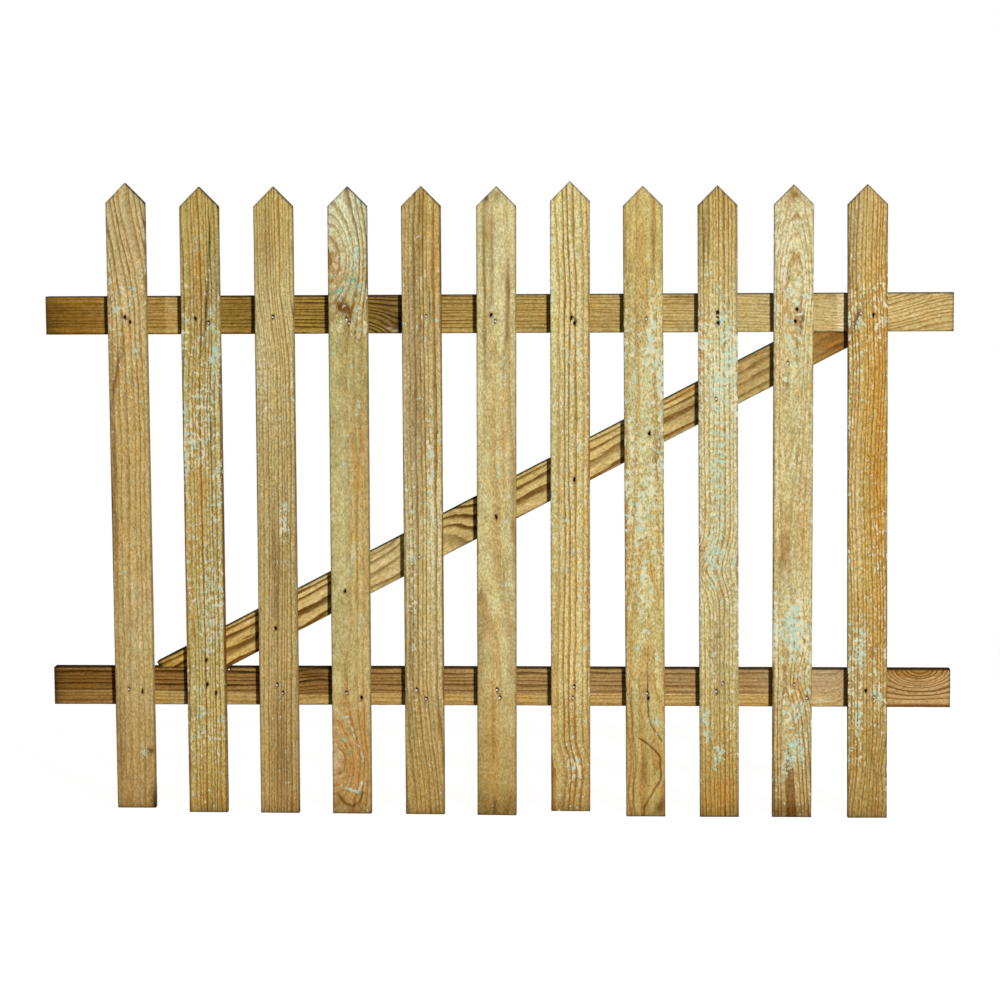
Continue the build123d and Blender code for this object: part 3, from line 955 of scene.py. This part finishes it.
def pit_nodes(g, wood, place):
    """Nail holes in the wood: a torn pit, painted dark as the shade inside the hole, with a bruise round it.
    """
    off, up, depth = g.split(g.attribute("pit"))
    torn = g.scaled(g.noise(place, *TEAR), 5.6, -2.8)
    flat = g.join(off, g.product(up, 0.62), 0.0)
    away = g.add("ShaderNodeVectorMath", {0: flat}, operation="LENGTH").outputs["Value"]
    ragged = g.math("ADD", away, torn)
    halo = g.product(g.step(ragged, 2.8, 5.0, 0.55, 0.0), depth)
    pit = g.product(g.step(ragged, 1.9, 3.0, 1.0, 0.0), depth)
    # The pit's near black is painted shade inside the hole; the brown halo round it is the bruise.
    return g.mix(pit, g.mix(halo, wood, shade((120, 78, 40))), shade((30, 20, 12)))


def pine_material():
    """Pressure treated pine: rings and fibres from the board's own grain, and copper salts."""
    material = bpy.data.materials.new("treated_pine")
    g = Nodes(material)
    place = g.attribute("board")
    phase, contrast, bloom = g.split(g.attribute("grain"))
    band, years, year = ring_nodes(g, place, phase, contrast)
    along = g.product(g.split(place)[1], FIBRES_A_METRE)
    fibre = g.noise(g.join(g.product(years, FIBRES_A_YEAR), along, year), (1, 1, 1), 3.0, 0.65)
    grit = g.step(g.noise(place, *GRIT), 0.30, 0.70)
    wood = timber_nodes(g, place, band, fibre, grit, bloom)
    wood, crust = salt_nodes(g, wood, place, band, grit, bloom)
    wood = pit_nodes(g, wood, place)

    height = g.scaled(band, 0.6, g.scaled(fibre, 0.8, g.product(crust, 0.5)))
    bump = g.add("ShaderNodeBump", {"Strength": 0.55, "Distance": 0.0006, "Height": height})
    rough = g.scaled(band, -0.12, g.scaled(grit, 0.16, 0.70))
    surface = {"Base Color": wood, "Roughness": rough, "Normal": bump.outputs[0], "Specular IOR Level": 0.0}
    g.finish(g.add("ShaderNodeBsdfPrincipled", surface))
    return material


def steel_material():
    """Galvanised nail heads, dulled and a little rusty, in a near white that partly paints their glint."""
    material = bpy.data.materials.new("nail_steel")
    g = Nodes(material)
    place = g.add("ShaderNodeTexCoord").outputs["Object"]
    rust = g.step(g.noise(place, *RUST), 0.52, 0.66)
    # The near white is brighter than bare zinc and partly paints the heads' glint.
    colour = g.mix(rust, shade((244, 238, 234)), shade((176, 130, 108)))
    rough = g.scaled(rust, 0.35, 0.38)
    g.finish(g.add("ShaderNodeBsdfPrincipled", {"Base Color": colour, "Roughness": rough, "Metallic": 0.2}))
    return material


def nail_heads(places):
    """One piece of driven nail heads, each a worn button on a short shank, a little askew in its hole."""
    rng = np.random.default_rng(5)
    angles = np.arange(HEAD_SEGMENTS) * 2 * pi / HEAD_SEGMENTS
    rings = [
        (radius * HEAD_RADIUS * cos(a), -up, radius * HEAD_RADIUS * sin(a))
        for radius, up in HEAD_PROFILE
        for a in angles
    ]
    tube = np.arange(len(rings)).reshape(len(HEAD_PROFILE), HEAD_SEGMENTS)
    button = [*grid_faces(wrapped(tube)), tube[0], tube[-1][::-1]]
    points, faces = [], []
    for place in places:
        tip, turn = radians(rng.uniform(*HEAD_TIP)), radians(rng.uniform(-HEAD_TURN, HEAD_TURN))
        askew = Quaternion((1, 0, 0), tip) @ Quaternion((0, 0, 1), turn)
        faces += [(face + len(points)).tolist() for face in button]
        points += [Vector(place) + askew @ Vector(ring) for ring in rings]
    return new_piece("nail_heads", np.array(points), faces, steel_material())


def nails_of(node, number):
    """Nails that show in a board: along the panel, up, and what shows of the head."""
    if node == "bottom_rail":
        return [HEEL_NAIL]
    if not node.startswith("picket"):
        return []
    centre = FIRST_PICKET + PICKET_PITCH * number
    return [(centre + off, up + FOOT_LEVEL, kind) for off, up, kind in PICKET_NAILS[number]]


pine = pine_material()
head_places = []
for number, (node, wood) in enumerate(WOOD.items()):
    board = Board(node)
    row_nails = nails_of(node, number)
    nails = [(*board.to_board(x, z), kind) for x, z, kind in row_nails]
    for x, z, kind in row_nails:
        side, lift = HEAD_SHIFT[kind]
        head_places.append((x + side, board.front + HEAD_SUNK[kind], z + lift))
    piece = board_piece(f"board_{node}", board, wood, number + 1, nails, pine)
    kind = next(word for word in ("picket", "rail", "brace") if word in node)
    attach(piece, "root")
    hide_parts(node)

nails_piece = nail_heads(head_places)
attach(nails_piece, "root")


def pointing(azimuth, elevation):
    a, e = radians(azimuth), radians(elevation)
    return Vector((sin(a) * cos(e), -cos(a) * cos(e), sin(e)))


def stand(name, data, toward, distance, roll=0.0):
    """Put a camera or a lamp at a distance from the panel, looking at it."""
    thing = bpy.data.objects.new(name, data)
    thing.location = LOOK_AT + toward * distance
    thing.rotation_mode = "QUATERNION"
    thing.rotation_quaternion = (-toward).to_track_quat("-Z", "Y") @ Quaternion((0, 0, 1), radians(roll))
    bpy.context.scene.collection.objects.link(thing)
    return thing


def set_camera():
    data = bpy.data.cameras.new("camera")
    data.lens, data.sensor_width = CAMERA_LENS, CAMERA_SENSOR
    toward = pointing(CAMERA_AZIMUTH, CAMERA_ELEVATION)
    bpy.context.scene.camera = stand("camera", data, toward, CAMERA_DISTANCE, CAMERA_ROLL)


def set_lamp(name, azimuth, elevation, size, power):
    data = bpy.data.lights.new(name, "AREA")
    data.shape, data.size, data.energy = "DISK", size, power
    stand(name, data, pointing(azimuth, elevation), LAMP_DISTANCE)


def shown(g):
    """1 for the rays that see the backdrop: the camera's, and those off metal and through glass."""
    rays = g.add("ShaderNodeLightPath").outputs
    seen = g.math("MAXIMUM", rays["Is Camera Ray"], rays["Is Glossy Ray"])
    return g.math("MAXIMUM", seen, rays["Is Transmission Ray"])


def mix_shaders(g, factor, first, second):
    inputs = {0: factor, 1: first.outputs[0], 2: second.outputs[0]}
    return g.add("ShaderNodeMixShader", inputs)


def set_room():
    """A room that looks white and lights the panel only a little."""
    world = bpy.data.worlds.new("room")
    bpy.context.scene.world = world
    g = Nodes(world)
    fill = g.add("ShaderNodeBackground", {"Color": (1, 1, 1, 1), "Strength": ROOM_FILL})
    white = g.add("ShaderNodeBackground", {"Color": (1, 1, 1, 1), "Strength": 1.0})
    g.finish(mix_shaders(g, shown(g), fill, white), "ShaderNodeOutputWorld")


def floor_material(centre):
    """A floor that looks white but for the panel's shadow, which fades out round it."""
    material = bpy.data.materials.new("floor")
    g = Nodes(material)
    plain = g.add("ShaderNodeBsdfDiffuse", {"Color": (FLOOR_PALE, FLOOR_PALE, FLOOR_PALE, 1)})
    dim = g.add("ShaderNodeBsdfDiffuse", {"Color": (FLOOR_SHOWN, FLOOR_SHOWN, FLOOR_SHOWN, 1)})
    glow = g.add("ShaderNodeEmission", {"Color": (1, 1, 1, 1), "Strength": FLOOR_GLOW})
    white = g.add("ShaderNodeEmission", {"Color": (1, 1, 1, 1), "Strength": 1.0})
    shadowed = g.add("ShaderNodeAddShader", {0: dim.outputs[0], 1: glow.outputs[0]})
    place = g.add("ShaderNodeNewGeometry").outputs["Position"]
    away = g.add("ShaderNodeVectorMath", {0: place, 1: centre}, operation="DISTANCE").outputs["Value"]
    bright = mix_shaders(g, g.step(away, FLOOR_NEAR, FLOOR_FAR), shadowed, white)
    g.finish(mix_shaders(g, shown(g), plain, bright))
    return material


def set_floor():
    level, reach = cad_box[0][2], FLOOR_SIZE / 2
    corners = [(LOOK_AT.x + x * reach, y * reach, level) for x, y in ((-1, -1), (1, -1), (1, 1), (-1, 1))]
    mesh = bpy.data.meshes.new("floor")
    mesh.from_pydata(corners, [], [(0, 1, 2, 3)])
    mesh.materials.append(floor_material((LOOK_AT.x, 0, level)))
    floor = bpy.data.objects.new("floor", mesh)
    bpy.context.scene.collection.objects.link(floor)


bpy.context.scene.view_settings.view_transform = "Standard"
set_camera()
set_lamp("lamp", LAMP_AZIMUTH, LAMP_ELEVATION, LAMP_SIZE, LAMP_POWER)
set_lamp("back_lamp", BACK_AZIMUTH, BACK_ELEVATION, BACK_SIZE, BACK_POWER)
set_lamp("side_lamp", SIDE_AZIMUTH, SIDE_ELEVATION, SIDE_SIZE, SIDE_POWER)
set_room()
set_floor()
